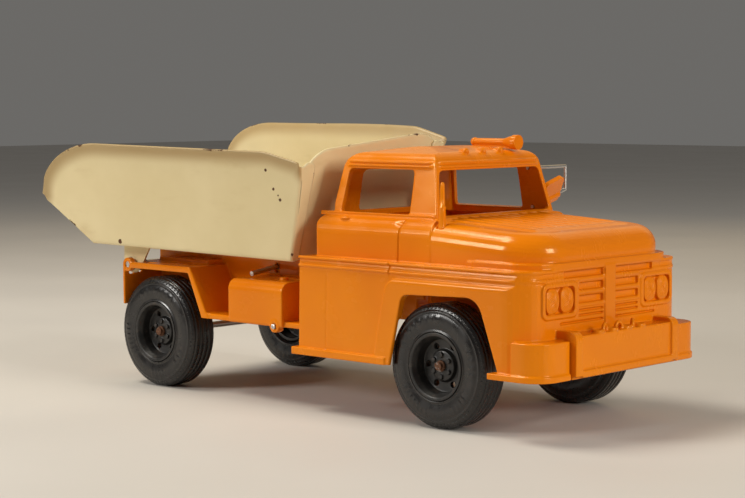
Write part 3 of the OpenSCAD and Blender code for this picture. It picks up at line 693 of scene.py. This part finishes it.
def front_sheet():
    bm = bmesh.new()
    bm.verts.layers.float.new("wear")
    bm.verts.layers.float.new("band")
    half, top, r = BED_HALF - SHEET - 0.6, BED_H, 18
    columns = []
    for i in range(81):
        y = half * math.sin(math.pi * (i / 80 - 0.5))
        out = max(abs(y) - (half - r), 0)
        high = top - r + math.sqrt(max(r * r - out * out, 0))
        column = []
        for j in range(41):
            z = high * j / 40
            edge = (high - z) * (1 - 0.5 * out / r)
            column.append(((BED_FRONT - 0.02 + z * WALL_LEAN, y, z), bell(edge, 1.0), 0))
        columns.append(column)
    add_sheet(bm, columns, (1, 0, 0))
    return to_mesh(bm, "bed_wall")


for name, mesh, node in (("bed", bed_sheets(), "bed_tub"),
                         ("bed_wall", front_sheet(), "bed_front_wall")):
    piece = new_piece(name, mesh, CREAM, "bed", "cream_paint", node)
    thick = piece.modifiers.new("sheet", "SOLIDIFY")
    thick.thickness = SHEET * MM
    thick.offset = -1


# ---- wheels -----------------------------------------------------------------------

TREAD = 27.0
RIBS = 4
RIBBED_HALF = 5.05
GROOVE = 0.7
DASH_UP = 0.12


def tyre_profile():
    """(radius, distance outwards from the middle, shoulder block weight, sidewall weight)."""
    side = [(13.7, 6.3, 0, 0), (14.1, 7.3, 0, 0), (14.75, 8.0, 0, 0), (15.0, 8.42, 0, 0),
            (15.35, 8.5, 0, 0), (15.65, 8.0, 0, 0), (16.2, 8.02, 0, 0), (17.2, 8.27, 0, 0),
            (18.2, 8.44, 0, 0), (18.9, 8.5, 0, 0.3), (19.3, 8.53, 0, 1), (20.3, 8.52, 0, 1),
            (21.3, 8.42, 0, 1), (21.7, 8.35, 0, 0.3), (22.5, 8.15, 0, 0), (23.2, 7.9, 0, 0),
            (23.45, 8.0, 0, 0), (23.75, 7.95, 0, 0), (23.95, 7.65, 0, 0), (24.5, 7.4, 0, 0),
            (24.95, 7.2, 0, 0), (25.1, 7.15, 1, 0), (25.6, 6.85, 1, 0), (26.0, 6.45, 1, 0),
            (26.15, 6.3, 0, 0), (26.5, 5.75, 0, 0), (26.2, 5.55, 0, 0), (26.2, 5.3, 0, 0),
            (26.85, 5.1, 0, 0)]
    ribs = []
    pitch = (2 * RIBBED_HALF + GROOVE) / RIBS
    for i in range(RIBS):
        a = RIBBED_HALF - i * pitch
        b = a - pitch + GROOVE
        ribs += [(TREAD - 0.1, a, 0, 0), (TREAD, a - 0.15, 0, 0), (TREAD, (a + b) / 2, 0, 0),
                 (TREAD, b + 0.15, 0, 0), (TREAD - 0.1, b, 0, 0)]
        if i < RIBS - 1:
            ribs += [(26.2, b - 0.08, 0, 0), (26.2, b - 0.62, 0, 0)]
    mirrored = [(r, -w, b, s) for r, w, b, s in reversed(side)]
    return side + ribs + mirrored


def dashes():
    """Heights round the sidewall of plain raised bars, in groups."""
    marks = [0.0] * 360
    for first, count, wide in ((84, 8, 6), (352, 4, 5), (212, 7, 3), (300, 4, 3)):
        for i in range(count):
            for d in range(wide):
                marks[(first + i * (wide + 4) + d) % 360] = DASH_UP
    return marks


def tyre_mesh():
    bm = bmesh.new()
    profile = tyre_profile()
    marks = dashes()
    count = 360
    rings = []
    for i in range(count):
        a = math.tau * i / count
        degree = i * 360 // count
        slot = 1 if (degree % 5) < 2 else 0
        ring = []
        for r, w, block, side in profile:
            r -= 0.4 * block * slot
            w += math.copysign(marks[degree] * side - 0.2 * block * slot, w)
            ring.append(bm.verts.new((r * MM * math.cos(a), w * MM, r * MM * math.sin(a))))
        rings.append(ring)
    for i in range(count):
        a, b = rings[i], rings[(i + 1) % count]
        for j in range(len(profile)):
            k = (j + 1) % len(profile)
            bm.faces.new((a[j], b[j], b[k], a[k]))
    bmesh.ops.recalc_face_normals(bm, faces=bm.faces)
    return to_mesh(bm, "tyre")


def middle(name):
    lo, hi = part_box(name)
    return (lo + hi) / 2


tyre_skin = tyre_mesh()
hub_bm = from_node("hub_front_right")
bmesh.ops.translate(hub_bm, verts=hub_bm.verts, vec=-middle("tyre_front_right"))
hub_skin = moulded(hub_bm, "hub", 0.22, 2, 0.2)
for end, phase in (("front", 0), ("rear", 38)):
    for side, turn in (("right", 0), ("left", math.pi)):
        wheel = f"{end}_{side}"
        for kind, skin, mat, slot in (("tyre", tyre_skin, TYRE, "tyre_rubber"),
                                      ("hub", hub_skin, BLACK, "black_plastic")):
            mesh = skin.copy()
            if kind == "tyre":
                mesh.transform(Matrix.Rotation(math.radians(phase), 4, "Y"))
            mesh.transform(Matrix.Rotation(turn, 4, "X"))
            piece = new_piece(f"{kind}_{wheel}_piece", mesh, mat, f"{end}_wheelset",
                              slot, f"{kind}_{wheel}")
            piece.location = middle(f"tyre_{wheel}")


# ---- small parts ------------------------------------------------------------------

def worn_fastener(name, part, scale, material, body, slot):
    """A CAD fastener with its head drawn in round its own axis along y, and battered."""
    centre = middle(part)
    bm = from_node(part)
    for v in bm.verts:
        v.co.x = centre.x + (v.co.x - centre.x) * scale
        v.co.z = centre.z + (v.co.z - centre.z) * scale

    def dent(p, n):
        return n * (0.22 * noise.noise(p * 1.3) + 0.1 * noise.noise(p * 3.1))

    new_piece(name, moulded(bm, name, 0.14, 2, 0.5, dent), material, body, slot, part)


for end in ("front", "rear"):
    worn_fastener(f"{end}_caps", f"{end}_axle_caps", 0.78, RUSTY, f"{end}_wheelset",
                   "rusty_steel")
worn_fastener("rivets", "lug_rivets", 0.72, STEEL, "truck", "bare_steel")

for mat, names in ((ORANGE, ("air_horn", "mirror_plate")),
                   (STEEL, ("mirror_wire", "cab_screws", "bed_hinge_pin",
                            "hinge_pin_caps", "dump_lever", "front_axle", "rear_axle")),
                   (CREAM, ("bed_hinge_bracket",))):
    for name in names:
        nodes[name].data.materials.clear()
        nodes[name].data.materials.append(mat)
